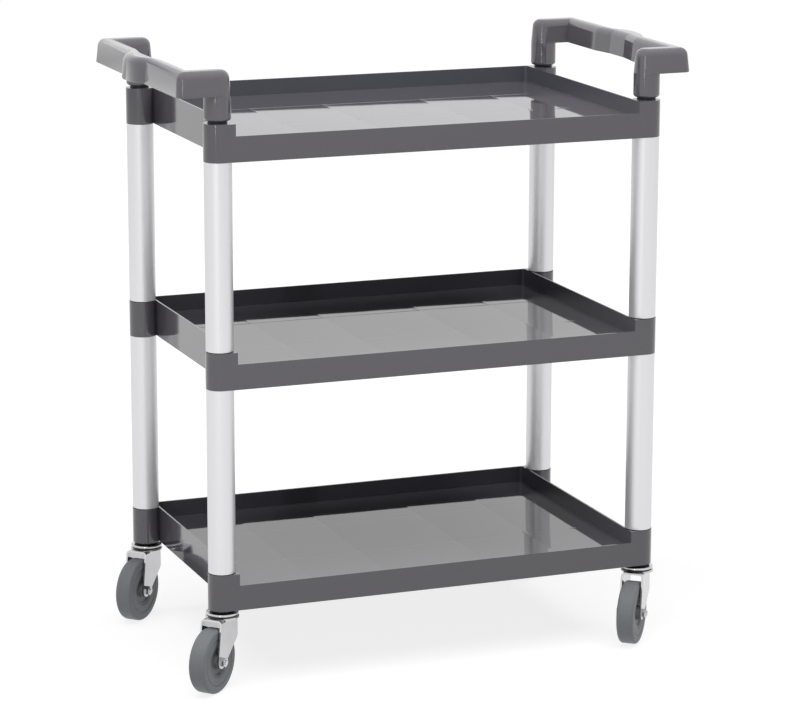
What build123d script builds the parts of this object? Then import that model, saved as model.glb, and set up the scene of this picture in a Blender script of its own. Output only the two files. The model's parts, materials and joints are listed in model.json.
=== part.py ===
from build123d import *
import os
from math import cos, radians, sin

# Three-tier serving trolley, in millimetres. +X runs along the trolley towards one handle, -Y to the side
# with the low lips, +Z up. The origin lies on the floor, midway between the four posts.

# Posts: aluminium tubes that stand on and under the corner blocks of the shelves
post_spacing_x = 696.0
post_spacing_y = 396.0
tube_diameter = 42.0
tube_wall = 1.5
tube_length = 286.5

# Shelves: moulded trays, high at the back and the ends, low at the front, hollow and ribbed below
shelf_height = 57.0
block_ledge = 0.7  # how far a corner block stands out past the tube
shelf_wall = 3.0
end_wall_setback = 21.5  # from a post's axis in to the inner face of the end wall
deck_drop = 26.0  # from the rim down to the deck
deck_thickness = 3.0
lip_drop = 18.0  # from the rim down to the front lip
long_rib_spacing = 164.0
cross_rib_pitch = 122.0  # from the end wall to the first cross rib, and on to the second
rib_thickness = 2.5
rib_depth = 9.0

# Joiners: eight-sided plugs that run from tube to tube through the corner blocks
joiner_clearance = 0.1  # between a joiner's edges and the tube
tube_grip = 32.0  # how far a joiner reaches into a tube
neck_diameter = 30.0
neck_grip = 30.0  # how far a neck reaches into a handle's leg

# Handles: one moulding each, with two legs, two arms and a bar that swells in the middle
leg_diameter = 41.0
leg_gap = 4.0  # where the neck shows, between the shelf and the leg
leg_length = 38.0
bar_height = 37.0
bar_inner = 33.5  # from the posts' axes out to the inner face of the bar
bar_width = 33.5
swell = 14.0  # how far the bar swells outwards in the middle
swell_inner = 5.5  # how far the inner face follows it
swell_flat = 50.0  # length of the swollen stretch
swell_run = 41.0  # length of the ramp at each end of it
bar_corner_bevel = 9.0
bar_top_radius = 10.0
bar_draft = 5.0  # degrees

# Casters: stem and cup stay with the shelf, the fork swivels, the wheel turns on its bolt
caster_height = 124.0  # from the floor to the bottom shelf
wheel_diameter = 100.0
wheel_width = 27.0
caster_trail = 33.0
fork_gap = 31.0
fork_sheet = 2.5
fork_bend_radius = 4.0
fork_front = 17.5  # from the swivel axis to the front edges of the legs
fork_back = 36.0  # from the swivel axis to the back edge of the crown
fork_shoulder = 28.0  # how far the front edges run straight down
fork_end = 10.5  # how far a leg's end reaches past the axle
fork_end_bevel = 6.0
cup_diameter = 48.0
cup_height = 7.2
cup_drop = 2.3  # from the bottom shelf down to the cup
stem_flats = 11.0
stem_length = 45.0
king_pin_diameter = 12.0
axle_diameter = 8.0
bolt_flats = 13.0
bolt_head_height = 5.3
nut_height = 6.5
running_clearance = 0.08  # radial, where a bore turns on its pin
side_clearance = 0.3  # axial, between parts that turn past each other

# How far each caster stands turned, in degrees: its wheel trails towards the front left
caster_turns = {"front_left": 42.0, "front_right": 51.0, "back_left": 44.0, "back_right": 48.0}

# Places worked out from the sizes above
post_x = post_spacing_x / 2
post_y = post_spacing_y / 2
posts = {
    "front_left": (-post_x, -post_y),
    "front_right": (post_x, -post_y),
    "back_left": (-post_x, post_y),
    "back_right": (post_x, post_y),
}
tier_pitch = shelf_height + tube_length
bottom_base = caster_height
middle_base = bottom_base + tier_pitch
top_base = middle_base + tier_pitch
top_rim = top_base + shelf_height
tube_radius = tube_diameter / 2
bore_radius = tube_radius - tube_wall
joiner_radius = bore_radius - joiner_clearance
block_radius = tube_radius + block_ledge
inner_x = post_x - end_wall_setback
outer_y = post_y + block_radius
inner_y = outer_y - shelf_wall
leg_radius = leg_diameter / 2
neck_radius = neck_diameter / 2
leg_base = top_rim + leg_gap
bar_base = leg_base + leg_length
fork_half = fork_gap / 2 + fork_sheet
cup_top = caster_height - cup_drop
cup_base = cup_top - cup_height
crown_top = cup_base - side_clearance
crown_base = crown_top - fork_sheet
pin_radius = king_pin_diameter / 2
axle_radius = axle_diameter / 2
wheel_radius = wheel_diameter / 2


def make_shelf(base):
    """One moulded tray, whose lower edge is at the height base."""
    rim = base + shelf_height
    deck_base = rim - deck_drop - deck_thickness
    with BuildPart() as shelf:
        # The outer form: walls between round corner blocks, which stand outside the end walls
        with BuildSketch(Plane.XY.offset(base)):
            with Locations(*posts.values()):
                Circle(block_radius)
            Rectangle(2 * (inner_x + shelf_wall), 2 * outer_y)
            with GridLocations(0, 2 * post_y + block_radius, 1, 2):
                Rectangle(post_spacing_x, block_radius)
        extrude(amount=shelf_height)
        # The tray above the deck, and the hollow below it
        with BuildSketch(Plane.XY.offset(rim - deck_drop)):
            Rectangle(2 * inner_x, 2 * inner_y)
        extrude(amount=deck_drop, mode=Mode.SUBTRACT)
        with BuildSketch(Plane.XY.offset(base)):
            Rectangle(2 * inner_x, 2 * inner_y)
        extrude(amount=deck_base - base, mode=Mode.SUBTRACT)
        # The front wall is cut down to a low lip
        with BuildSketch(Plane.XY.offset(rim - lip_drop)):
            with Locations((0, -outer_y)):
                Rectangle(2 * inner_x, 4 * shelf_wall)
        extrude(amount=lip_drop, mode=Mode.SUBTRACT)
        # Ribs under the deck: two along it, and two across it near each end
        with BuildSketch(Plane.XY.offset(deck_base - rib_depth)):
            with GridLocations(0, long_rib_spacing, 1, 2):
                Rectangle(2 * inner_x, rib_thickness)
            for steps in (1, 2):
                with GridLocations(2 * (inner_x - steps * cross_rib_pitch), 0, 2, 1):
                    Rectangle(rib_thickness, 2 * inner_y)
        extrude(amount=rib_depth)
        # Sockets for the joiners
        with BuildSketch(Plane.XY.offset(base)):
            with Locations(*posts.values()):
                RegularPolygon(joiner_radius, 8)
        extrude(amount=shelf_height, mode=Mode.SUBTRACT)
    return shelf.part


def make_tubes(post):
    """The two tubes of one post, which stand on the bottom shelf and on the middle one."""
    with BuildPart() as tubes:
        for base in (bottom_base, middle_base):
            with BuildSketch(Plane.XY.offset(base + shelf_height)):
                with Locations(posts[post]):
                    Circle(tube_radius)
                    Circle(bore_radius, mode=Mode.SUBTRACT)
            extrude(amount=tube_length)
    return tubes.part


def make_joiner(post, base, top):
    """One plug, from one height to the other."""
    with BuildPart() as joiner:
        with BuildSketch(Plane.XY.offset(base)):
            with Locations(posts[post]):
                RegularPolygon(joiner_radius, 8)
        extrude(amount=top - base)
    return joiner.part


def make_top_joiner(post):
    """A plug from the upper tube through the top shelf, with a neck that carries the handle's leg."""
    with BuildPart() as joiner:
        add(make_joiner(post, top_base - tube_grip, top_rim))
        with BuildSketch(Plane.XY.offset(top_rim)):
            with Locations(posts[post]):
                RegularPolygon(neck_radius, 8)
        extrude(amount=leg_gap + neck_grip)
    return joiner.part


def make_middle_joiner(post):
    """A plug from the lower tube through the middle shelf into the upper tube."""
    return make_joiner(post, middle_base - tube_grip, middle_base + shelf_height + tube_grip)


def make_bottom_joiner(post):
    """A plug from the lower tube down through the bottom shelf, with a socket for the caster's stem."""
    with BuildPart() as joiner:
        add(make_joiner(post, cup_top, bottom_base + shelf_height + tube_grip))
        with BuildSketch(Plane.XY.offset(cup_top)):
            with Locations(posts[post]):
                RegularPolygon(stem_flats / 2, 6, major_radius=False)
        extrude(amount=stem_length, mode=Mode.SUBTRACT)
    return joiner.part


with BuildPart() as right_handle:
    inner_face = post_x + bar_inner
    outer_face = inner_face + bar_width
    swell_face = outer_face + swell
    swell_end = swell_flat / 2 + swell_run
    # Each arm is round over its leg and bevelled at the outer corner
    with BuildSketch(Plane.XY.offset(bar_base)) as arm:
        with Locations(posts["front_right"]):
            Circle(leg_radius)
            Rectangle(outer_face - post_x, leg_diameter, align=(Align.MIN, Align.CENTER))
        chamfer(arm.vertices().group_by(Axis.X)[-1].sort_by(Axis.Y)[0], bar_corner_bevel)
    extrude(amount=bar_height, taper=bar_draft)
    mirror(about=Plane.XZ)
    # The bar, and the swelling in its middle
    with BuildSketch(Plane.XY.offset(bar_base)):
        with Locations((inner_face, 0)):
            Rectangle(bar_width, post_spacing_y, align=(Align.MIN, Align.CENTER))
    extrude(amount=bar_height, taper=bar_draft)
    with BuildSketch(Plane.XY.offset(bar_base)):
        with BuildLine():
            Polyline(
                (inner_face + swell, -swell_end),
                (outer_face, -swell_end),
                (swell_face, -swell_flat / 2),
                (swell_face, swell_flat / 2),
                (outer_face, swell_end),
                (inner_face + swell, swell_end),
                close=True,
            )
        make_face()
    extrude(amount=bar_height, taper=bar_draft)
    # The inner face follows the swelling a little
    with BuildSketch(Plane.XY.offset(bar_base)):
        with BuildLine():
            Polyline(
                (inner_face, -swell_end),
                (inner_face + swell_inner, -swell_flat / 2),
                (inner_face + swell_inner, swell_flat / 2),
                (inner_face, swell_end),
                close=True,
            )
        make_face()
    extrude(amount=bar_height, mode=Mode.SUBTRACT)
    fillet(right_handle.faces().sort_by(Axis.Z)[-1].outer_wire().edges(), bar_top_radius)
    # Legs, with sockets for the necks of the joiners
    with BuildSketch(Plane.XY.offset(leg_base)):
        with Locations(posts["front_right"], posts["back_right"]):
            Circle(leg_radius)
    extrude(amount=leg_length)
    with BuildSketch(Plane.XY.offset(leg_base)):
        with Locations(posts["front_right"], posts["back_right"]):
            RegularPolygon(neck_radius, 8)
    extrude(amount=neck_grip, mode=Mode.SUBTRACT)

with BuildPart() as handles:
    add(right_handle.part)
    mirror(right_handle.part, about=Plane.YZ)

with BuildPart() as caster_stems:
    # Stem, cup and king pin, down to the underside of the fork's crown
    with BuildSketch(Plane.XY.offset(cup_top)):
        with Locations(*posts.values()):
            RegularPolygon(stem_flats / 2, 6, major_radius=False)
    extrude(amount=stem_length)
    with BuildSketch(Plane.XY.offset(cup_base)):
        with Locations(*posts.values()):
            Circle(cup_diameter / 2)
    extrude(amount=cup_height)
    with BuildSketch(Plane.XY.offset(crown_base)):
        with Locations(*posts.values()):
            Circle(pin_radius)
    extrude(amount=cup_base - crown_base)


def trail_way(post):
    """The way from a caster's swivel axis to its trailing wheel."""
    turn = radians(caster_turns[post])
    return Vector(-cos(turn), -sin(turn), 0)


def side_plane(post, along_axle):
    """A plane square to a caster's axle: x towards the wheel, y up, its origin under the swivel axis."""
    across = Plane(origin=(*posts[post], 0), x_dir=trail_way(post), z_dir=(0, 0, 1)).y_dir
    origin = Vector(*posts[post], 0) + across * along_axle
    return Plane(origin=origin, x_dir=trail_way(post), z_dir=-across)


def make_fork(post):
    """A pressed fork: crown and two tapering legs, with the axle bolt and its nut."""
    crown_plane = Plane(origin=(*posts[post], crown_base), x_dir=trail_way(post), z_dir=(0, 0, 1))
    with BuildPart() as fork:
        with BuildSketch(side_plane(post, 0)) as outline:
            with BuildLine():
                Polyline(
                    (-fork_front, crown_top - fork_shoulder),
                    (-fork_front, crown_top),
                    (fork_back, crown_top),
                    (caster_trail + fork_end, wheel_radius - fork_end),
                    (caster_trail - fork_end, wheel_radius - fork_end),
                    close=True,
                )
            make_face()
            chamfer(outline.vertices().group_by(Axis.Z)[0], fork_end_bevel)
        extrude(amount=fork_half, both=True)
        crown_edges = fork.edges().filter_by(Axis((0, 0, 0), trail_way(post))).group_by(Axis.Z)[-1]
        fillet(crown_edges, fork_bend_radius)
        # The room between the legs, and the king pin's hole
        with BuildSketch(crown_plane):
            Rectangle(4 * wheel_diameter, fork_gap)
        extrude(amount=-crown_base, mode=Mode.SUBTRACT)
        with BuildSketch(crown_plane):
            Circle(pin_radius + running_clearance)
        extrude(amount=fork_sheet, mode=Mode.SUBTRACT)
        # The axle bolt, its head and its nut
        with BuildSketch(side_plane(post, fork_half)):
            with Locations((caster_trail, wheel_radius)):
                Circle(axle_radius)
        extrude(amount=2 * fork_half)
        for along, thickness in ((fork_half + nut_height, nut_height), (-fork_half, bolt_head_height)):
            with BuildSketch(side_plane(post, along)):
                with Locations((caster_trail, wheel_radius)):
                    RegularPolygon(bolt_flats / 2, 6, major_radius=False)
            extrude(amount=thickness)
    return fork.part


def make_wheel(post):
    """A wheel, bored for the axle bolt."""
    with BuildPart() as wheel:
        with BuildSketch(side_plane(post, wheel_width / 2)):
            with Locations((caster_trail, wheel_radius)):
                Circle(wheel_radius)
                Circle(axle_radius + running_clearance, mode=Mode.SUBTRACT)
        extrude(amount=wheel_width)
    return wheel.part


pieces = {
    "bottom_shelf": make_shelf(bottom_base),
    "middle_shelf": make_shelf(middle_base),
    "top_shelf": make_shelf(top_base),
    "handles": handles.part,
    "caster_stems": caster_stems.part,
}
for post in posts:
    pieces[post + "_tubes"] = make_tubes(post)
    pieces[post + "_top_joiner"] = make_top_joiner(post)
    pieces[post + "_middle_joiner"] = make_middle_joiner(post)
    pieces[post + "_bottom_joiner"] = make_bottom_joiner(post)
    pieces[post + "_fork"] = make_fork(post)
    pieces[post + "_wheel"] = make_wheel(post)

os.makedirs("parts", exist_ok=True)
for name, piece in pieces.items():
    piece.label = name
    export_step(piece, "parts/" + name + ".step")
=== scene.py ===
# %% [markdown]
# # Dressing a three-tier serving trolley
# The workshop's solids already have the right sizes and places: three trays on four posts, two push
# handles and four swivel casters. This lesson gives them the look of the real thing. The solids stay
# where they are. New pieces are modelled over them, and every piece rides on the body that carries it.

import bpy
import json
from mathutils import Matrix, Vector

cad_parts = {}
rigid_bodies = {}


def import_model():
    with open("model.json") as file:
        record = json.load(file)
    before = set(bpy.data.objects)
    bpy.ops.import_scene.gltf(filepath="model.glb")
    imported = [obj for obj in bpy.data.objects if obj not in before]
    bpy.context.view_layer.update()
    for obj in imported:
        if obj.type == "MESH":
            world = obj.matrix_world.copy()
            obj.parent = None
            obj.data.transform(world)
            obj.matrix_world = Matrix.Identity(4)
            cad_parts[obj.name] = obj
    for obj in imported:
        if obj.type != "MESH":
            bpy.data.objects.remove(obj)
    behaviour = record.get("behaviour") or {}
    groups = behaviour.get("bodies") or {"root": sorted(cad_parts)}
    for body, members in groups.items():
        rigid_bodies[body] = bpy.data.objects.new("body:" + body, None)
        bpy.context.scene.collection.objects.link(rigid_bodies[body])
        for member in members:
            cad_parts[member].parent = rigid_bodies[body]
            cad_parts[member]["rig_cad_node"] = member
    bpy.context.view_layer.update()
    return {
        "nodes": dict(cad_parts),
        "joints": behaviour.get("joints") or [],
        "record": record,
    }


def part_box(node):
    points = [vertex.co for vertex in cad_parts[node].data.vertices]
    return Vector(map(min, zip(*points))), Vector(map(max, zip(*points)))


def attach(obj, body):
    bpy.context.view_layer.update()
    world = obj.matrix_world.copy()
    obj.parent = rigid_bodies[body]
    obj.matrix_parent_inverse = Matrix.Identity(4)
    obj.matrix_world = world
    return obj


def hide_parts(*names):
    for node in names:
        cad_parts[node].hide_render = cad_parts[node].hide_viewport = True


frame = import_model()
print("solids loaded:", len(frame["nodes"]))

# %% [markdown]
# ## Places
# A caster swivels about its post's axis, and its wheel turns on an axle behind that axis. The frame's
# joints say where those axes are, so every place below is read from them and not measured again.
# Sizes are in metres, and MM turns millimetres into metres.

# %% Posts and axles
from math import atan2, cos, pi, radians, sin, tan

import bpy
from mathutils import Matrix, Vector

MM = 0.001
joints = {joint["name"]: joint for joint in frame["joints"]}
post_names = ("front_left", "front_right", "back_left", "back_right")
posts = {}
axles = {}
for post in post_names:
    posts[post] = Vector(joints[post + "_swivel_turn"]["pos_m"])
    posts[post].z = 0.0
    axles[post] = Vector(joints[post + "_wheel_spin"]["pos_m"])
print("posts at", [tuple(round(c, 3) for c in posts[post][:2]) for post in post_names])

# %% [markdown]
# ## Hands on the mesh
# Modelling by hand is picking something, doing something to it, and putting it down again. These small
# helpers do the picking: one object, or some faces or edges of it by their place. Others apply a
# modifier, round the edges, or move a piece. Written once, they keep each later step to the few moves
# that shape its piece.

# %% Picking
def only(piece):
    """Makes one object the only selected one."""
    if bpy.context.object and bpy.context.object.mode != "OBJECT":
        bpy.ops.object.mode_set(mode="OBJECT")
    bpy.ops.object.select_all(action="DESELECT")
    piece.select_set(True)
    bpy.context.view_layer.objects.active = piece
    return piece


def pick(piece, kind, test):
    """Goes into edit mode with only the faces or edges selected that pass the test."""
    mesh = only(piece).data
    for items in (mesh.vertices, mesh.edges, mesh.polygons):
        items.foreach_set("select", [False] * len(items))
    if kind == "FACE":
        for face in mesh.polygons:
            face.select = test(face.center, face.normal)
    else:
        for edge in mesh.edges:
            edge.select = test(*[mesh.vertices[end].co for end in edge.vertices])
    bpy.context.tool_settings.mesh_select_mode = (False, kind == "EDGE", kind == "FACE")
    bpy.ops.object.mode_set(mode="EDIT")


# %% Applying, rounding and moving
def apply(piece, kind, **settings):
    """Adds a modifier with these settings and applies it."""
    only(piece)
    modifier = piece.modifiers.new(kind.title(), kind)
    for name, value in settings.items():
        setattr(modifier, name, value)
    bpy.ops.object.modifier_apply(modifier=modifier.name)


def smooth(piece, angle=40):
    """Shades the rounded places smooth and keeps the large flat faces flat."""
    only(piece)
    bpy.ops.object.shade_smooth_by_angle(angle=radians(angle))
    apply(piece, "WEIGHTED_NORMAL", weight=100, keep_sharp=True)


def round_edges(piece, width, angle=40):
    """Rounds every edge that is sharper than the angle."""
    apply(piece, "BEVEL", width=width, segments=2, limit_method="ANGLE", angle_limit=radians(angle))
    smooth(piece, angle)


def move(piece, matrix):
    """Moves a piece by a matrix, which then goes into its mesh."""
    only(piece)
    piece.matrix_world = matrix
    bpy.ops.object.transform_apply(location=True, rotation=True, scale=True)
    return piece


def copy_of(piece, name, matrix):
    """A copy with its own mesh, moved by the matrix."""
    only(piece)
    bpy.ops.object.duplicate()
    copy = bpy.context.object
    copy.name = copy.data.name = name
    return move(copy, matrix)


# %% [markdown]
# ## Finishes
# Each finish is a small node tree. A picture could be wrapped round a piece, but plain plastic and metal
# need none. A single flat colour looks lifeless, though, so colour and roughness wander a little with a
# noise. It reads object coordinates, so it stays on the piece when that moves. Values that are the same
# all over are set on the shader itself.

# %% Values and outputs
def feed(tree, socket, value):
    """Sets a socket to a number, or links another node's output to it."""
    if isinstance(value, float):
        socket.default_value = value
    else:
        tree.links.new(value, socket)


def rescale(tree, value, low, high, start=0.0, end=1.0):
    """Turns a value that runs from start to end into one that runs from low to high."""
    span = tree.nodes.new("ShaderNodeMapRange")
    feed(tree, span.inputs["Value"], value)
    feed(tree, span.inputs["From Min"], start)
    feed(tree, span.inputs["From Max"], end)
    feed(tree, span.inputs["To Min"], low)
    feed(tree, span.inputs["To Max"], high)
    return span.outputs["Result"]


# %% A finish with grain
noise_detail = 3.0


def finish(name, shades, grain, roughness, **sockets):
    """A material whose colour and roughness wander with one noise, of so many grains per metre."""
    material = bpy.data.materials.new(name)
    material.use_nodes = True
    tree = material.node_tree
    shader = tree.nodes["Principled BSDF"]
    for socket, value in sockets.items():
        shader.inputs[socket.replace("_", " ")].default_value = value
    place = tree.nodes.new("ShaderNodeTexCoord")
    place.name = "place"
    noise = tree.nodes.new("ShaderNodeTexNoise")
    noise.name = "grain"
    noise.inputs["Scale"].default_value = grain
    noise.inputs["Detail"].default_value = noise_detail
    tree.links.new(place.outputs["Object"], noise.inputs["Vector"])
    colour = tree.nodes.new("ShaderNodeMix")
    colour.data_type = "RGBA"
    colour.inputs["A"].default_value = (*shades[0], 1)
    colour.inputs["B"].default_value = (*shades[1], 1)
    tree.links.new(noise.outputs["Fac"], colour.inputs["Factor"])
    tree.links.new(colour.outputs["Result"], shader.inputs["Base Color"])
    tree.links.new(rescale(tree, noise.outputs["Fac"], *roughness), shader.inputs["Roughness"])
    print("finish:", name)
    return material


# %% Relief and paint
def bump(material, height, depth):
    """Lets a height stand out of the surface, after any bump that is there."""
    links = material.node_tree.links
    normal = material.node_tree.nodes["Principled BSDF"].inputs["Normal"]
    relief = material.node_tree.nodes.new("ShaderNodeBump")
    relief.inputs["Distance"].default_value = depth
    relief.inputs["Strength"].default_value = 1.0
    if normal.is_linked:
        links.new(normal.links[0].from_socket, relief.inputs["Normal"])
    links.new(height, relief.inputs["Height"])
    links.new(relief.outputs["Normal"], normal)


def bump_grain(material, depth):
    """Lets a finish's own grain stand out of the surface."""
    bump(material, material.node_tree.nodes["grain"].outputs["Fac"], depth)


def paint(piece, *materials):
    """Gives a piece its finishes, in the order of its slots."""
    piece.data.materials.clear()
    for material in materials:
        piece.data.materials.append(material)


# %% [markdown]
# ## Tray plastic
# The trays are moulded in one grey. Outside, the plastic is glossy enough to mirror the posts, which a
# low roughness below a thin clear coat gives. The walls' inner faces look cooler and softer in their shade,
# and that is painted shade: they get a satin finish of their own without a coat, in a cooler grey for the
# bluish light that reaches them.

# %% Outer and inner walls
tray_grey = ((0.100, 0.094, 0.109), (0.114, 0.107, 0.124))
# The cooler grey of the inner walls is painted shade, for the bluish light inside the trays.
painted_shade_grey = ((0.104, 0.104, 0.126), (0.119, 0.119, 0.144))
mould_grain = 420.0
mould_grain_depth = 0.004 * MM
moulded = finish(
    "moulded_grey", shades=tray_grey, grain=mould_grain, roughness=(0.06, 0.11),
    IOR=1.5, Coat_Weight=0.45, Coat_Roughness=0.05,
)
bump_grain(moulded, mould_grain_depth)
inner_wall_painted_shade = finish("inner_wall_painted_shade", shades=painted_shade_grey, grain=mould_grain, roughness=(0.28, 0.36), IOR=1.38)

# %% [markdown]
# ## Polished decks
# A deck shines like a mirror, and where a rib stands below it, the plastic sank in as it cooled. Sink
# marks are a fraction of a millimetre deep and show only in reflections. Modelled, they would need a very
# fine mesh, so they are bump: wide valleys over the cross ribs, a narrow one over each long rib, a crease
# where two ribs meet, and a slow wave over all.

# %% Valleys over ribs
def combine(tree, operation, *inputs):
    """One step of arithmetic on inputs that are numbers or other nodes' outputs."""
    node = tree.nodes.new("ShaderNodeMath")
    node.operation = operation
    for socket, value in zip(node.inputs, inputs):
        feed(tree, socket, value)
    return node.outputs["Value"]


def rib_distance(tree, along, *ribs):
    """Distance to the nearest of some ribs that stand on both sides of the middle."""
    side = combine(tree, "ABSOLUTE", along)
    gaps = [combine(tree, "ABSOLUTE", combine(tree, "SUBTRACT", side, rib)) for rib in ribs]
    nearest = gaps[0]
    for gap in gaps[1:]:
        nearest = combine(tree, "MINIMUM", nearest, gap)
    return nearest


def valley(tree, distance, reach):
    """A height of one, whose sides come down to the rib's line and meet there in a crease."""
    slope = rescale(tree, distance, 1.0, 0.0, end=reach)
    return combine(tree, "SUBTRACT", 1.0, combine(tree, "POWER", slope, 2.0))


# %% Sink marks
near_rib = 82.5 * MM
far_rib = 204.5 * MM
long_rib = 82 * MM
sink_reach = 61 * MM
sink_depth = 0.4 * MM
long_reach = 5 * MM
long_depth = 0.08 * MM
knot_width = 4 * MM
knot_length = 40 * MM
knot_depth = 0.1 * MM
deck_gloss = finish(
    "deck_gloss", shades=tray_grey, grain=9.0, roughness=(0.03, 0.06),
    IOR=1.5, Coat_Weight=0.2, Coat_Roughness=0.03,
)
tree = deck_gloss.node_tree
place = tree.nodes["place"].outputs["Object"]
split = tree.nodes.new("ShaderNodeSeparateXYZ")
tree.links.new(place, split.inputs["Vector"])
cross = rib_distance(tree, split.outputs["X"], near_rib, far_rib)
long = rib_distance(tree, split.outputs["Y"], long_rib)
bump(deck_gloss, valley(tree, cross, sink_reach), sink_depth)
bump(deck_gloss, valley(tree, long, long_reach), long_depth)
knot = combine(tree, "MAXIMUM", valley(tree, cross, knot_width), valley(tree, long, knot_length))
bump(deck_gloss, knot, knot_depth)
print("ribs that show:", [round(rib / MM, 1) for rib in (near_rib, far_rib, long_rib)], "mm off the middle")

# %% A slow wave
waves_per_metre = 5.0
wave_depth = 0.6 * MM
wave = tree.nodes.new("ShaderNodeTexNoise")
wave.inputs["Scale"].default_value = waves_per_metre
wave.inputs["Detail"].default_value = 0.0
tree.links.new(place, wave.inputs["Vector"])
bump(deck_gloss, wave.outputs["Fac"], wave_depth)
print("nodes of the deck's finish:", len(tree.nodes))

# %% [markdown]
# ## Trays
# A tray is one moulding: a deck between walls, round blocks at the corners, ribs below. Its solid has
# every wall in the right place but edges like knives. Modelling it again would only repeat that, so each
# tray is a copy of its solid, merged and cleaned. The two upright corners inside its back wall get a wide
# round and every other edge a small one, as a mould leaves them. Faces then take the finish of their
# place: deck, inner wall or outside.

# %% Rounded trays
weld = 0.01 * MM
close = 0.1 * MM
one_plane = radians(1)
tray_edge = 0.8 * MM
inner_corner = 6 * MM
tray_wall = 3 * MM
faces_up = 0.99
faces_in = -0.1
tray_low, tray_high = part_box("bottom_shelf")
inner_y = tray_high.y - tray_wall
decks = {mount["name"]: mount["pos_m"][2] for mount in frame["record"]["mounts"]}


def make_tray(node):
    """A tray with moulded edges over its solid."""
    tray = copy_of(frame["nodes"][node], node.replace("shelf", "tray"), Matrix.Identity(4))
    del tray["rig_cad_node"]
    bpy.ops.mesh.customdata_custom_splitnormals_clear()
    bpy.ops.object.mode_set(mode="EDIT")
    bpy.ops.mesh.select_all(action="SELECT")
    bpy.ops.mesh.remove_doubles(threshold=weld)
    bpy.ops.mesh.dissolve_limited(angle_limit=one_plane)
    deck = decks[node.replace("shelf", "deck")]

    def back_corner(a, b):
        """The upright edges in the two inner corners at the back."""
        upright = abs(a.z - b.z) > MM and (a.xy - b.xy).length < close
        return upright and abs(a.y - inner_y) < close and min(a.z, b.z) > deck - MM

    pick(tray, "EDGE", back_corner)
    bpy.ops.mesh.bevel(offset=inner_corner, segments=4, affect="EDGES")
    round_edges(tray, tray_edge)
    paint(tray, moulded, deck_gloss, inner_wall_painted_shade)
    # The deck gets the gloss, and the inner faces of the walls get the finish in painted shade.
    for face in tray.data.polygons:
        if abs(face.center.z - deck) < close and face.normal.z > faces_up:
            face.material_index = 1
        elif face.center.z > deck and face.normal.xy.dot(face.center.xy) < faces_in:
            face.material_index = 2
    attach(tray, "frame")
    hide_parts(node)
    print(tray.name, "faces", len(tray.data.polygons))


for node in ("bottom_shelf", "middle_shelf", "top_shelf"):
    make_tray(node)

# %% [markdown]
# ## Posts
# Each post is two lengths of aluminium tube, one above the other, with a dark gap of less than a
# millimetre below each. Drawing the tube left fine streaks along it, so its grain is stretched upright
# by a Mapping node. A tube is a cylinder with open ends that gets its wall from Solidify, which keeps
# the wall even all round, and a bevel breaks its edges. One post is modelled and copied to the others.

# %% Drawn aluminium
streaks_across = 260.0
streaks_along = 1.5
aluminium = finish(
    "satin_aluminium", shades=((0.66, 0.66, 0.675), (0.73, 0.73, 0.745)), grain=1.0,
    roughness=(0.40, 0.50), Metallic=1.0,
)
tree = aluminium.node_tree
drawn = tree.nodes.new("ShaderNodeMapping")
drawn.inputs["Scale"].default_value = (streaks_across, streaks_across, streaks_along)
tree.links.new(tree.nodes["place"].outputs["Object"], drawn.inputs["Vector"])
tree.links.new(drawn.outputs["Vector"], tree.nodes["grain"].inputs["Vector"])


# %% Copying to the posts
def settle(name):
    """Names the primitive that was just added and puts its place and size into its mesh."""
    piece = bpy.context.object
    piece.name = piece.data.name = name
    bpy.ops.object.transform_apply(location=True, rotation=True, scale=True)
    return piece


def join(piece, *others):
    """Makes other pieces a part of this one."""
    only(piece)
    for other in others:
        other.select_set(True)
    bpy.ops.object.join()


def at_posts(piece, word, body, replaced):
    """Puts a copy of a piece at each post, turned as its caster is, and drops the pattern."""
    for post in post_names:
        behind = axles[post] - posts[post]
        turn = Matrix.Rotation(atan2(behind.y, behind.x), 4, "Z")
        copy = copy_of(piece, post + "_" + word, Matrix.Translation(posts[post]) @ turn)
        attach(copy, body.format(post=post))
        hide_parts(replaced.format(post=post))
    bpy.data.objects.remove(piece)
    print("four copies of", word)


# %% Two tubes per post
tube_low, tube_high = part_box("front_left_tubes")
tube_radius = (tube_high.x - tube_low.x) / 2
tube_wall = 1.5 * MM
tube_edge = 0.4 * MM
tube_sides = 96
tray_height = tray_high.z - tray_low.z
tube_gap = 0.8 * MM
tube_length = (tube_high.z - tube_low.z - tray_height) / 2 - tube_gap


def make_tube(base):
    """One length of tube round the upright axis."""
    bpy.ops.object.select_all(action="DESELECT")
    bpy.ops.mesh.primitive_cylinder_add(
        vertices=tube_sides, radius=tube_radius, depth=tube_length, end_fill_type="NOTHING",
        location=(0, 0, base + tube_length / 2),
    )
    tube = settle("tube")
    apply(tube, "SOLIDIFY", thickness=tube_wall, offset=-1.0)
    round_edges(tube, tube_edge)
    return tube


tubes = make_tube(tube_low.z + tube_gap)
join(tubes, make_tube(tube_high.z - tube_length))
paint(tubes, aluminium)
at_posts(tubes, "post", "frame", "{post}_tubes")

# %% [markdown]
# ## Joiners
# Black plugs hold tubes, trays, handles and casters together. Only two of them show: a neck between the
# top tray and a handle's leg, and a flange under the bottom tray. Both are turned parts, so they are made
# as on a lathe: half an outline is drawn, then spun about the upright axis. The thin grey collar round a
# neck is the rim of the tray's block. The plugs inside the middle tray stay as their solids, in black.

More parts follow.
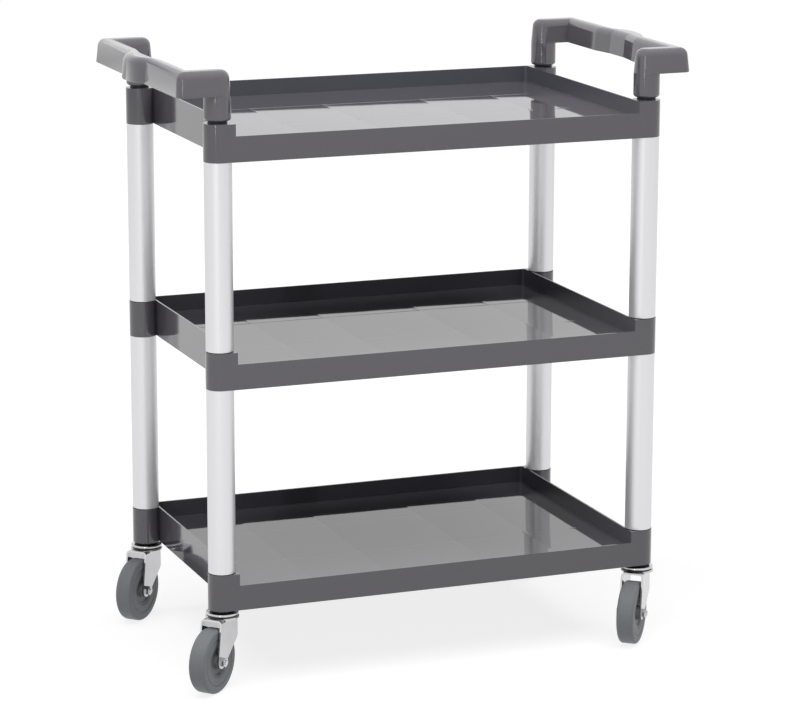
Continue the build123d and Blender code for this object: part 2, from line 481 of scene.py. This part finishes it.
# %% Drawing and turning
def draw(name, points):
    """A chain of edges through the points, drawn by extruding one corner along, left in edit mode."""
    bpy.ops.object.select_all(action="DESELECT")
    bpy.ops.mesh.primitive_plane_add(size=MM)
    piece = settle(name)
    bpy.ops.object.mode_set(mode="EDIT")
    bpy.context.tool_settings.mesh_select_mode = (True, False, False)
    bpy.ops.mesh.select_all(action="SELECT")
    bpy.ops.mesh.merge(type="CENTER")
    bpy.ops.transform.translate(value=points[0])
    for start, end in zip(points, points[1:]):
        bpy.ops.mesh.extrude_vertices_move(TRANSFORM_OT_translate={"value": Vector(end) - Vector(start)})
    bpy.ops.mesh.select_all(action="SELECT")
    bpy.ops.mesh.remove_doubles(threshold=weld)
    return piece


def closed(outline):
    """An outline that comes back to its first point."""
    return outline + outline[:1]


def lathe(name, outline, steps=72):
    """Turns an outline of (radius, height) points about the upright axis."""
    piece = draw(name, [(radius, 0, height) for radius, height in outline])
    bpy.ops.mesh.spin(steps=steps, angle=2 * pi, center=(0, 0, 0), axis=(0, 0, 1))
    bpy.ops.mesh.select_all(action="SELECT")
    bpy.ops.mesh.remove_doubles(threshold=weld)
    bpy.ops.mesh.normals_make_consistent(inside=False)
    bpy.ops.object.mode_set(mode="OBJECT")
    return piece


def ring(name, inside, outside, start, end):
    """A plain ring between two radii and two heights."""
    return lathe(name, closed([(inside, start), (outside, start), (outside, end), (inside, end)]))


# %% Black plastic
black = finish(
    "black_plastic", shades=((0.008, 0.008, 0.009), (0.016, 0.016, 0.017)), grain=300.0,
    roughness=(0.35, 0.5), IOR=1.5,
)

# %% Necks
top_low, top_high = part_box("top_shelf")
handle_low, handle_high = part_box("handles")
top_rim = top_high.z
leg_base = handle_low.z
plug_radius = 19.3 * MM
plug_reach = 32 * MM
plug_base = top_low.z - plug_reach
plug_top = top_rim - 1 * MM
neck_radius = 14.8 * MM
neck_top = leg_base + 1 * MM
neck_end = leg_base + 29 * MM
neck_edge = 0.2 * MM
groove_radius = 13.9 * MM
groove_base = top_rim + 1.7 * MM
groove_top = top_rim + 2.6 * MM
groove_slope = 0.3 * MM
neck = lathe("neck", [
    (0, plug_base),
    (plug_radius, plug_base),
    (plug_radius, plug_top),
    (neck_radius, plug_top),
    (neck_radius, groove_base - groove_slope),
    (groove_radius, groove_base),
    (groove_radius, groove_top),
    (neck_radius, groove_top + groove_slope),
    (neck_radius, neck_top),
    (groove_radius, neck_top),
    (groove_radius, neck_end),
    (0, neck_end),
])
round_edges(neck, neck_edge)
paint(neck, black)
at_posts(neck, "neck", "frame", "{post}_top_joiner")

# %% Grey collars
collar_radius = 19.4 * MM
collar_gap = 0.2 * MM
collar_base = top_rim - 0.9 * MM
collar_top = top_rim + 0.12 * MM
collar_edge = 0.1 * MM
collar = ring("collar", neck_radius + collar_gap, collar_radius, collar_base, collar_top)
round_edges(collar, collar_edge)
paint(collar, moulded)
at_posts(collar, "collar", "frame", "top_shelf")

# %% Flanges and hidden plugs
cup_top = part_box("front_left_bottom_joiner")[0].z
seat_gap = 0.1 * MM
flange_radius = 18.4 * MM
flange_edge = 0.3 * MM
stem_hole = 6.5 * MM
flange = lathe("flange", closed([
    (stem_hole, cup_top + seat_gap),
    (flange_radius, cup_top + seat_gap),
    (flange_radius, tray_low.z - seat_gap),
    (plug_radius, tray_low.z - seat_gap),
    (plug_radius, tray_high.z + plug_reach),
    (stem_hole, tray_high.z + plug_reach),
]))
round_edges(flange, flange_edge)
paint(flange, black)
at_posts(flange, "flange", "frame", "{post}_bottom_joiner")
for post in post_names:
    paint(frame["nodes"][post + "_middle_joiner"], black)

# %% [markdown]
# ## Handles
# A handle is one glossy moulding: two legs, two arms and a bar. Its outer face swells out in the middle,
# and the inner face is hollow there, with a flat middle between two ramps. A box bent into that shape
# would be hard to control, so the bar is drawn as an outline from above. Insetting that face and lifting
# the inner one gives the walls their draft, and a wide bevel rounds the top.

# %% The outline from above
def arc(centre, radius, first, last, count=6):
    """Points of an arc in an outline, from one angle in degrees to another."""
    angles = [radians(first + (last - first) * n / count) for n in range(count + 1)]
    return [(centre[0] + radius * cos(a), centre[1] + radius * sin(a)) for a in angles]


post_x = posts["front_right"].x
post_y = posts["back_right"].y
leg_radius = handle_high.y - post_y
inner_face = 33.5 * MM
outer_face = 67 * MM
swell = 15 * MM
swell_end = 50 * MM
swell_power = 2.6
swell_steps = 9
recess = 6.5 * MM
recess_end = 70 * MM
recess_flat = 26 * MM


def half_outline(side):
    """One arm and half of the bar, from the swelling round the leg to the hollow."""
    steps = [n / swell_steps for n in range(1, swell_steps + 1)]
    outer = [(outer_face + swell * (1 - s ** swell_power), side * swell_end * s) for s in steps]
    arm = [(outer_face, side * (post_y + leg_radius))]
    arm += arc((0, side * post_y), leg_radius, 90 * side, 270 * side, count=20)
    arm += [(inner_face, side * (post_y - leg_radius))]
    inner = [(inner_face, side * recess_end), (inner_face + recess, side * recess_flat)]
    return outer + arm + inner


outline = [(outer_face + swell, 0)] + half_outline(1) + half_outline(-1)[::-1]
print("points in the handle's outline:", len(outline))

# %% A bar with draft
leg_length = 37 * MM
bar_base = leg_base + leg_length
bar_height = handle_high.z - bar_base
bar_draft = radians(5)
bar_inset = bar_height * tan(bar_draft)
right_handle = draw("right_handle", [(post_x + out, along, bar_base) for out, along in closed(outline)])
bpy.ops.mesh.edge_face_add()
pick(right_handle, "FACE", lambda centre, normal: True)
bpy.ops.mesh.inset(thickness=bar_inset, use_even_offset=True)
bpy.ops.transform.translate(value=(0, 0, bar_height))
pick(right_handle, "EDGE", lambda a, b: max(a.z, b.z) < bar_base + MM)
bpy.ops.mesh.edge_face_add()
bpy.ops.mesh.select_all(action="SELECT")
bpy.ops.mesh.normals_make_consistent(inside=False)
print("walls lean in by", round(bar_inset / MM, 2), "mm")

# %% Rounded top and corners
bar_round = 11 * MM
rim_round = 1.5 * MM
corner_reach = 5 * MM
corner_x = post_x + outer_face - corner_reach
corner_y = post_y + leg_radius - corner_reach


def top_or_corner(a, b):
    """The edge round the top, and the upright ones at the outer corners."""
    corner = min(a.x, b.x) > corner_x and min(abs(a.y), abs(b.y)) > corner_y
    return min(a.z, b.z) > handle_high.z - MM or (corner and abs(a.z - b.z) > bar_height / 2)


def lower_rim(a, b):
    """The lower edges, apart from the round ends that run on into the legs."""
    reach = [((end.x - post_x) ** 2 + (abs(end.y) - post_y) ** 2) ** 0.5 for end in (a, b)]
    return max(a.z, b.z) < bar_base + MM and max(reach) > leg_radius + MM


pick(right_handle, "EDGE", top_or_corner)
print("edges to round:", len([edge for edge in right_handle.data.edges if edge.select]))
bpy.ops.mesh.bevel(offset=bar_round, segments=7, affect="EDGES")
pick(right_handle, "EDGE", lower_rim)
bpy.ops.mesh.bevel(offset=rim_round, segments=3, affect="EDGES")

# %% [markdown]
# The legs are cylinders that go on below the bar's round ends, and their lower ends are rounded. Smooth
# shading would blur the hollow, because its ramps meet the flat at a few degrees only. So the edges where
# a ramp starts or ends are marked sharp, and they catch the light as creases.

# %% Legs
leg_sides = 72
leg_fit = 0.02 * MM
leg_round = 4.2 * MM
for side in (-1, 1):
    only(right_handle)
    bpy.ops.object.select_all(action="DESELECT")
    bpy.ops.mesh.primitive_cylinder_add(
        vertices=leg_sides, radius=leg_radius - leg_fit, depth=bar_base - leg_base,
        location=(post_x, side * post_y, (bar_base + leg_base) / 2),
    )
    leg = settle("leg")
    pick(leg, "EDGE", lambda a, b: max(a.z, b.z) < leg_base + MM)
    bpy.ops.mesh.bevel(offset=leg_round, segments=6, affect="EDGES")
    join(right_handle, leg)
print("two legs of", round(leg_length / MM), "mm")

# %% Creases of the hollow
handle_smoothing = 24
hollow_reach = post_x + inner_face + recess + bar_inset + bar_round + MM
ramp_reach = 2 * MM
least_rise = 0.05 * MM


def at_ramp(end):
    """Whether a corner lies where a ramp of the hollow starts or ends."""
    return min(abs(abs(end.y) - ramp) for ramp in (recess_flat, recess_end)) < ramp_reach


def hollow_crease(a, b):
    """The edges that run up the inner face and over its round, where the ramps start and end."""
    inner = max(a.x, b.x) < hollow_reach
    return inner and at_ramp(a) and at_ramp(b) and abs(a.z - b.z) > least_rise


only(right_handle)
bpy.ops.object.shade_smooth_by_angle(angle=radians(handle_smoothing))
pick(right_handle, "EDGE", hollow_crease)
bpy.ops.mesh.mark_sharp()
bpy.ops.object.mode_set(mode="OBJECT")
print("creases:", len([edge for edge in right_handle.data.edges if edge.select]))
apply(right_handle, "WEIGHTED_NORMAL", weight=100, keep_sharp=True)

# %% [markdown]
# The handles are a shade lighter than the trays, in plastic of the same gloss. The left one is the right
# one mirrored, which saves modelling it twice. Mirroring turns a mesh inside out, so the copy's normals
# are worked out again.

# %% Handle finish and the other handle
handle_grain = 380.0
grip = finish(
    "handle_grey", shades=((0.118, 0.111, 0.128), (0.134, 0.126, 0.145)), grain=handle_grain,
    roughness=(0.06, 0.10), IOR=1.5, Coat_Weight=0.5, Coat_Roughness=0.05,
)
bump_grain(grip, mould_grain_depth)
paint(right_handle, grip)
left_handle = copy_of(right_handle, "left_handle", Matrix.Scale(-1, 4, (1, 0, 0)))
bpy.ops.object.mode_set(mode="EDIT")
bpy.ops.mesh.select_all(action="SELECT")
bpy.ops.mesh.normals_make_consistent(inside=False)
bpy.ops.object.mode_set(mode="OBJECT")
for handle in (right_handle, left_handle):
    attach(handle, "frame")
    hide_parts("handles")
    print(handle.name, "faces", len(handle.data.polygons))

# %% [markdown]
# ## Caster tops
# Below each post sits a plated cup with a rolled edge. It covers the ball race that the fork turns on.
# The race is a real part, and its black is painted shade: the narrow gap below the cup shows as a dark
# line, where the real gap lies in shadow. A pin goes from its riveted end under the fork up into the
# black plug. All three are round about the post's axis, so the lathe makes them quickest. Plating is
# bright metal with a little haze that varies, because a perfect mirror looks unreal.

# %% Plated cup
plated = finish(
    "bright_plating", shades=((0.54, 0.54, 0.55), (0.64, 0.64, 0.65)), grain=60.0,
    roughness=(0.08, 0.16), Metallic=1.0,
)
crown_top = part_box("front_left_fork")[1].z
cup_radius = 25 * MM
cup_hole = 5 * MM
cup_base = crown_top + 1.7 * MM
cup_base_radius = 21.5 * MM
cup_face = cup_top - 0.3 * MM
cup_face_radius = 18.6 * MM
cup_edge = cup_top - 0.6 * MM
cup_edge_radius = 19.6 * MM
cup_shoulder = cup_top - 2.0 * MM
cup_shoulder_radius = 22.6 * MM
roll = 1.6 * MM
roll_top = cup_top - 3.4 * MM
cup = lathe("cup", closed([
    (cup_hole, cup_face),
    (cup_face_radius, cup_face),
    (cup_edge_radius, cup_edge),
    (cup_shoulder_radius, cup_shoulder),
    *arc((cup_radius - roll, roll_top), roll, 80, 0, count=5),
    *arc((cup_radius - roll, cup_base + roll), roll, 0, -80, count=5),
    (cup_base_radius, cup_base),
    (cup_hole, cup_base),
]))
smooth(cup)
paint(cup, plated)
at_posts(cup, "cup", "frame", "caster_stems")

# %% Race
pin_radius = 6 * MM
race_radius = 23.2 * MM
race_gap = 0.2 * MM
race_edge = 0.2 * MM
race = ring("race", pin_radius, race_radius, cup_base, crown_top + race_gap)
round_edges(race, race_edge)
# The race's black is painted shade for the shadow in the gap under the cup.
paint(race, black)
at_posts(race, "race", "frame", "caster_stems")

# %% Pin with its riveted end
pin_fit = 0.1 * MM
pin_edge = 0.3 * MM
pin_top = cup_top + 42 * MM
crown_sheet = 2.5 * MM
rivet_radius = 9 * MM
rivet_top = crown_top - crown_sheet - 0.7 * MM
rivet_base = crown_top - crown_sheet - 3.6 * MM
rivet_side = rivet_base + 1.2 * MM
rivet_side_radius = 8.6 * MM
pin = lathe("pin", [
    (0, rivet_base),
    (pin_radius, rivet_base),
    (rivet_side_radius, rivet_side),
    (rivet_radius, rivet_top),
    (pin_radius - pin_fit, rivet_top),
    (pin_radius - pin_fit, pin_top),
    (0, pin_top),
])
round_edges(pin, pin_edge)
paint(pin, plated)
at_posts(pin, "pin", "frame", "caster_stems")

# %% [markdown]
# ## Forks
# A fork is pressed from plated sheet: a channel with a wide round nose, bent softly over into its crown,
# and legs that taper to a round end at the axle. Modelling the curved sheet face by face would be slow.
# Instead, a plan outline is pulled up, closed on top, bevelled and thickened to a sheet of even wall.

# %% Pressed channel
trail = (axles["front_left"] - posts["front_left"]).xy.length
fork_half = 18 * MM
fork_front = 25.5 * MM
nose_round = 14 * MM
nose_x = nose_round - fork_front
nose_y = fork_half - nose_round
bend = 5.5 * MM
channel_end = trail + 40 * MM
channel_base = 20 * MM
channel_top = crown_top - 0.4 * MM
plan = [
    (channel_end, -fork_half),
    *arc((nose_x, -nose_y), nose_round, -90, -180, count=12),
    *arc((nose_x, nose_y), nose_round, 180, 90, count=12),
    (channel_end, fork_half),
]
fork = draw("fork", [(x, y, channel_base) for x, y in plan])
bpy.ops.mesh.extrude_region_move(TRANSFORM_OT_translate={"value": (0, 0, channel_top - channel_base)})
pick(fork, "EDGE", lambda a, b: min(a.z, b.z) > crown_top - MM)
bpy.ops.mesh.edge_face_add()
bpy.ops.mesh.select_all(action="SELECT")
bpy.ops.mesh.normals_make_consistent(inside=False)
pick(fork, "EDGE", lambda a, b: min(a.z, b.z) > crown_top - MM and min(a.x, b.x) < channel_end - MM)
bpy.ops.mesh.bevel(offset=bend, segments=6, affect="EDGES")
apply(fork, "SOLIDIFY", thickness=crown_sheet, offset=-1.0)
print("channel faces:", len(fork.data.polygons))

# %% [markdown]
# The taper of the legs is cut as a press tool would cut it, in side view. A block at the crown and a round
# bar at the axle are wrapped in their convex hull, and the channel keeps what it has in common with that
# hull. Working with two simple bodies makes the legs' lines run straight onto the round end. The nose is
# then opened by an arch, and a hole lets the pin through.

# %% Blocks, bars and cuts
def cut(piece, tool, operation):
    """Cuts a piece with a tool body, or keeps what both share, and uses the tool up."""
    apply(piece, "BOOLEAN", operation=operation, object=tool, solver="EXACT")
    bpy.data.objects.remove(tool)


def block(name, low, high):
    """A block between two corners."""
    bpy.ops.object.select_all(action="DESELECT")
    bpy.ops.mesh.primitive_cube_add(size=1, location=(Vector(low) + Vector(high)) / 2)
    bpy.context.object.scale = Vector(high) - Vector(low)
    return settle(name)


def across(name, radius, length, centre, sides=48):
    """A bar across the fork, along the axle's direction."""
    bpy.ops.object.select_all(action="DESELECT")
    bpy.ops.mesh.primitive_cylinder_add(
        vertices=sides, radius=radius, depth=length, location=centre, rotation=(radians(90), 0, 0),
    )
    return settle(name)


# %% Tapered legs
wheel_radius = axles["front_left"].z
fork_end = 10.5 * MM
fork_back = 33 * MM
crown_base = crown_top - 24 * MM
crown_over = crown_top + 5 * MM
crown_round = 14 * MM
hull_half = 30 * MM
hull = across("hull", fork_end, 2 * hull_half, (trail, 0, wheel_radius), sides=64)
crown = block("crown", (-fork_front - MM, -hull_half, crown_base), (fork_back, hull_half, crown_over))
join(hull, crown)
bpy.ops.object.mode_set(mode="EDIT")
bpy.ops.mesh.select_all(action="SELECT")
bpy.ops.mesh.convex_hull()
pick(hull, "EDGE", lambda a, b: max(a.x, b.x) < 0 and max(a.z, b.z) < crown_base + MM)
bpy.ops.mesh.bevel(offset=crown_round, segments=6, affect="EDGES")
cut(fork, hull, "INTERSECT")
print("tapered fork faces:", len(fork.data.polygons))

# %% Open arch and pin hole
arch_front = -2 * fork_front
arch_back = -nose_round / 2
arch_half = 15 * MM
arch_top = crown_top - 3.4 * MM
arch_round = 3 * MM
pin_hole = pin_radius + 0.3 * MM
sheet_edge = 0.5 * MM
arch = block("arch", (arch_front, -arch_half, 0), (arch_back, arch_half, arch_top))
pick(arch, "EDGE", lambda a, b: min(a.z, b.z) > MM and abs(a.x - b.x) > MM)
bpy.ops.mesh.bevel(offset=arch_round, segments=5, affect="EDGES")
cut(fork, arch, "DIFFERENCE")
cut(fork, lathe("hole", [(0, 0), (pin_hole, 0), (pin_hole, cup_top), (0, cup_top)]), "DIFFERENCE")
round_edges(fork, sheet_edge, angle=35)
print("arch opened, hole of", round(2 * pin_hole / MM, 1), "mm")

# %% [markdown]
# The crown carries a round cap below the race, wider than the channel and with its rim bent down. A bevel
# could not give the channel a round top, so the cap is turned and joined to the fork. Both swivel as one.

# %% Round cap
cap_radius = 26 * MM
cap_inside = cap_radius - crown_sheet
cap_base = crown_top - 3.6 * MM
cap_bend = 2.8 * MM
cap_edge = 0.3 * MM
cap = lathe("cap", closed([
    (pin_hole, crown_top),
    *arc((cap_radius - cap_bend, crown_top - cap_bend), cap_bend, 90, 0),
    (cap_radius, cap_base),
    (cap_inside, cap_base),
    (cap_inside, crown_top - crown_sheet),
    (pin_hole, crown_top - crown_sheet),
]))
round_edges(cap, cap_edge)
join(fork, cap)
paint(fork, plated)
print("fork faces:", len(fork.data.polygons))
at_posts(fork, "pressed_fork", "{post}_swivel", "{post}_fork")

# %% [markdown]
# ## Axle bolts
# The wheel turns on a hexagon bolt with a nut. A hexagon has its corners turned off at an angle, so a
# six-sided bar is kept in common with a turned body. A bevel would cut flat facets there instead of round
# ones. The bolt's end stands a little out of the nut.

# %% Hexagons
hexagon_flats = 13 * MM
hexagon_radius = hexagon_flats / 3 ** 0.5
chamfer_drop = 0.4 * MM
chamfer_in = 1.4 * MM
chamfer_out = 0.3 * MM


def along_axle(start):
    """The matrix that lays a lathe's axis along the axle, from a place beside the wheel's middle."""
    return Matrix.Translation((trail, start, wheel_radius)) @ Matrix.Rotation(radians(-90), 4, "X")


def hexagon(name, base, height):
    """A hexagon with turned corners, outwards from the fork's side, along the axle."""
    piece = across(name, hexagon_radius, height, (trail, base + height / 2, wheel_radius), sides=6)
    turned = lathe("turned", [
        (0, 0),
        (hexagon_radius + chamfer_out, 0),
        (hexagon_radius + chamfer_out, height - chamfer_drop),
        (hexagon_radius - chamfer_in, height),
        (0, height),
    ])
    cut(piece, move(turned, along_axle(base)), "INTERSECT")
    return piece


nut_height = 6.5 * MM
head_height = 5.3 * MM
nut = hexagon("nut", fork_half, nut_height)
head = hexagon("head", fork_half, head_height)
about = Matrix.Translation((trail, 0, 0))
move(head, about @ Matrix.Rotation(pi, 4, "Z") @ about.inverted())
print("faces of the nut and the head:", len(nut.data.polygons), len(head.data.polygons))

# %% Bolt with head and nut
axle_radius = 4 * MM
axle_fit = 0.1 * MM
bolt_edge = 0.35 * MM
bolt_proud = 1.6 * MM
bolt_low = -fork_half - head_height / 2
bolt_high = fork_half + nut_height + bolt_proud
bolt_middle = (trail, (bolt_low + bolt_high) / 2, wheel_radius)
bolt = across("bolt", axle_radius - axle_fit, bolt_high - bolt_low, bolt_middle)
for piece in (nut, head, bolt):
    round_edges(piece, bolt_edge, angle=50)
join(bolt, nut, head)
paint(bolt, plated)
at_posts(bolt, "axle_bolt", "{post}_swivel", "{post}_fork")

# %% [markdown]
# ## Wheels
# A wheel is a grey rubber tyre on a moulded core, both turned about the axle. The tread is slightly
# crowned with soft shoulders, and two rings show on its sides: the edge of the rubber and a step in the
# core. Both sides are alike, so an outline is drawn for one side and mirrored for the other. Rubber is
# rougher than the core and has a grain that can be felt.

# %% Rubber and core
rubber_grain_depth = 0.05 * MM
rubber = finish(
    "wheel_rubber", shades=((0.197, 0.210, 0.224), (0.240, 0.252, 0.266)), grain=140.0,
    roughness=(0.45, 0.6),
)
bump_grain(rubber, rubber_grain_depth)
core = finish(
    "wheel_core", shades=((0.14, 0.146, 0.152), (0.17, 0.176, 0.182)), grain=200.0, roughness=(0.4, 0.5),
)

# %% Outlines of one side
# Each point is a radius and a distance from the wheel's middle plane, from the axle outwards.
half_width = 13.5 * MM
shoulder = 5 * MM
tyre_side = [
    (25 * MM, 11.4 * MM),
    (26 * MM, 12.4 * MM),
    (36.2 * MM, 13.1 * MM),
    (36.8 * MM, 12.6 * MM),
    (37.4 * MM, 12.6 * MM),
    (38 * MM, half_width),
    *arc((wheel_radius - shoulder, half_width - shoulder), shoulder, 90, 12, count=8),
]
core_side = [
    (4.3 * MM, 14.8 * MM),
    (10 * MM, 14.8 * MM),
    (11 * MM, 14.2 * MM),
    (12 * MM, 9.4 * MM),
    (20 * MM, 9.8 * MM),
    (21 * MM, 11 * MM),
    (22.5 * MM, 11.2 * MM),
    (23.8 * MM, 11.9 * MM),
    (25.2 * MM, 11.9 * MM),
]
print("points of a tyre's side and a core's side:", len(tyre_side), len(core_side))

# %% Tyre and core
wheel_steps = 128
wheel_smoothing = 32


def wheel_body(name, side, tread, material):
    """Turns one side's outline and its mirror image, and lays the axis along the axle."""
    other = [(radius, -height) for radius, height in side[::-1]]
    piece = lathe(name, closed(side + tread + other), steps=wheel_steps)
    move(piece, along_axle(0))
    smooth(piece, wheel_smoothing)
    paint(piece, material)
    return piece


tyre = wheel_body("tyre", tyre_side, [(wheel_radius, 0)], rubber)
at_posts(tyre, "tyre", "{post}_roller", "{post}_wheel")
core_body = wheel_body("core", core_side, [], core)
at_posts(core_body, "wheel_core", "{post}_roller", "{post}_wheel")

# %% [markdown]
# ## Floor and room
# A catalogue picture has no visible floor: white paper runs under the object and up behind it. Bright lamps
# could make paper white, but they would bleach the trolley too. So the Light Path node tells rays apart.
# To the camera and in reflections the paper glows white. Near the trolley it glows a little less, and the
# lamps' light makes up for that except in the shadow. Light that bounces onto the trolley comes from the
# paper at a plain level.

# %% Rays that see the paper
def seen_directly(tree):
    """One for rays from the camera or off metal and glass, before any matt surface, and else nothing."""
    rays = tree.nodes.new("ShaderNodeLightPath").outputs
    direct = combine(tree, "MAXIMUM", rays["Is Camera Ray"], rays["Is Glossy Ray"])
    through = combine(tree, "MAXIMUM", direct, rays["Is Transmission Ray"])
    fresh = combine(tree, "LESS_THAN", rays["Diffuse Depth"], 0.5)
    return combine(tree, "MULTIPLY", through, fresh)


# %% Glow and shadow of the paper
shadow_grey = 0.3
near_reach = 0.6
far_reach = 2.5
near_white = 0.82
white = 1.0
paper = bpy.data.materials.new("paper")
paper.use_nodes = True
tree = paper.node_tree
tree.nodes.clear()
place = tree.nodes.new("ShaderNodeTexCoord")
distance = tree.nodes.new("ShaderNodeVectorMath")
distance.operation = "LENGTH"
tree.links.new(place.outputs["Object"], distance.inputs["Vector"])
glow = tree.nodes.new("ShaderNodeEmission")
whiteness = rescale(tree, distance.outputs["Value"], near_white, white, near_reach, far_reach)
tree.links.new(whiteness, glow.inputs["Strength"])
shadow = tree.nodes.new("ShaderNodeBsdfDiffuse")
shadow.inputs["Color"].default_value = (shadow_grey, shadow_grey, shadow_grey, 1)
shown = tree.nodes.new("ShaderNodeAddShader")
tree.links.new(shadow.outputs["BSDF"], shown.inputs[0])
tree.links.new(glow.outputs["Emission"], shown.inputs[1])
print("paper glows", near_white, "near the trolley and", white, "far away")

# %% Paper floor
floor_size = 60.0
bounce_level = 0.5
bounce = tree.nodes.new("ShaderNodeEmission")
bounce.inputs["Strength"].default_value = bounce_level
chosen = tree.nodes.new("ShaderNodeMixShader")
tree.links.new(seen_directly(tree), chosen.inputs["Fac"])
tree.links.new(bounce.outputs["Emission"], chosen.inputs[1])
tree.links.new(shown.outputs["Shader"], chosen.inputs[2])
output = tree.nodes.new("ShaderNodeOutputMaterial")
tree.links.new(chosen.outputs["Shader"], output.inputs["Surface"])
bpy.ops.object.select_all(action="DESELECT")
bpy.ops.mesh.primitive_plane_add(size=floor_size, location=(0, 0, 0))
floor = settle("floor")
floor.data.materials.append(paper)
print("floor", floor_size, "m wide")

# %% White room
ceiling_start = 0.3
ceiling_end = 0.8
ceiling_white = 0.85
room_light = 0.08
room = bpy.data.worlds.new("room")
bpy.context.scene.world = room
room.use_nodes = True
tree = room.node_tree
background = tree.nodes["Background"]
background.inputs["Color"].default_value = (1, 1, 1, 1)
place = tree.nodes.new("ShaderNodeTexCoord")
height = tree.nodes.new("ShaderNodeSeparateXYZ")
tree.links.new(place.outputs["Generated"], height.inputs["Vector"])
ceiling = rescale(tree, height.outputs["Z"], white, ceiling_white, ceiling_start, ceiling_end)
level = rescale(tree, seen_directly(tree), room_light, ceiling)
tree.links.new(level, background.inputs["Strength"])
print("the room gives", room_light, "of light and shows white")

# %% [markdown]
# ## Lamps
# A large soft box above lights the trays evenly, with soft shadows below them. It is brighter than the
# white room and would show as a patch on every glossy rounded top, so it is hidden from reflections. A
# narrow upright strip in front, to the left, draws a thin bright line on what is round and glossy.

# %% Soft boxes
def soft_box(name, place, target, width, height, power):
    """A rectangular lamp at a place, turned towards a target."""
    bpy.ops.object.select_all(action="DESELECT")
    bpy.ops.object.light_add(type="AREA", location=place)
    lamp = bpy.context.object
    lamp.name = lamp.data.name = name
    lamp.data.shape = "RECTANGLE"
    lamp.data.size = width
    lamp.data.size_y = height
    lamp.data.energy = power
    lamp.rotation_euler = (Vector(target) - Vector(place)).to_track_quat("-Z", "Y").to_euler()
    print(name, "at", place)
    return lamp


ceiling_lamp = soft_box(
    "ceiling", place=(-0.4, -1.0, 3.2), target=(-0.4, -1.0, 0), width=4.5, height=3.5, power=140,
)
ceiling_lamp.visible_glossy = False
soft_box("strip", place=(-1.8, -2.4, 1.2), target=(0, 0, 1.2), width=0.06, height=1.5, power=5)

# %% [markdown]
# ## Camera and view
# The camera stands where the photograph was taken: in front and to the left, a little above the trays.
# Its lens follows from how much the near posts are larger than the far ones. The plain view transform
# shows a colour about as it is written.

# %% Camera
camera_place = (-1.8040, -4.6766, 1.5918)
camera_turn = (radians(90 - 12.941), radians(-0.142), radians(-21.252))
lens_length = 145.38
sensor_width = 36
bpy.ops.object.camera_add(location=camera_place, rotation=camera_turn)
camera = bpy.context.object
camera.data.lens = lens_length
camera.data.sensor_width = sensor_width
bpy.context.scene.camera = camera
bpy.context.scene.view_settings.view_transform = "Standard"
print("camera at", camera_place, "with a lens of", lens_length, "mm")

# %% [markdown]
# ## End

# %% End
import json
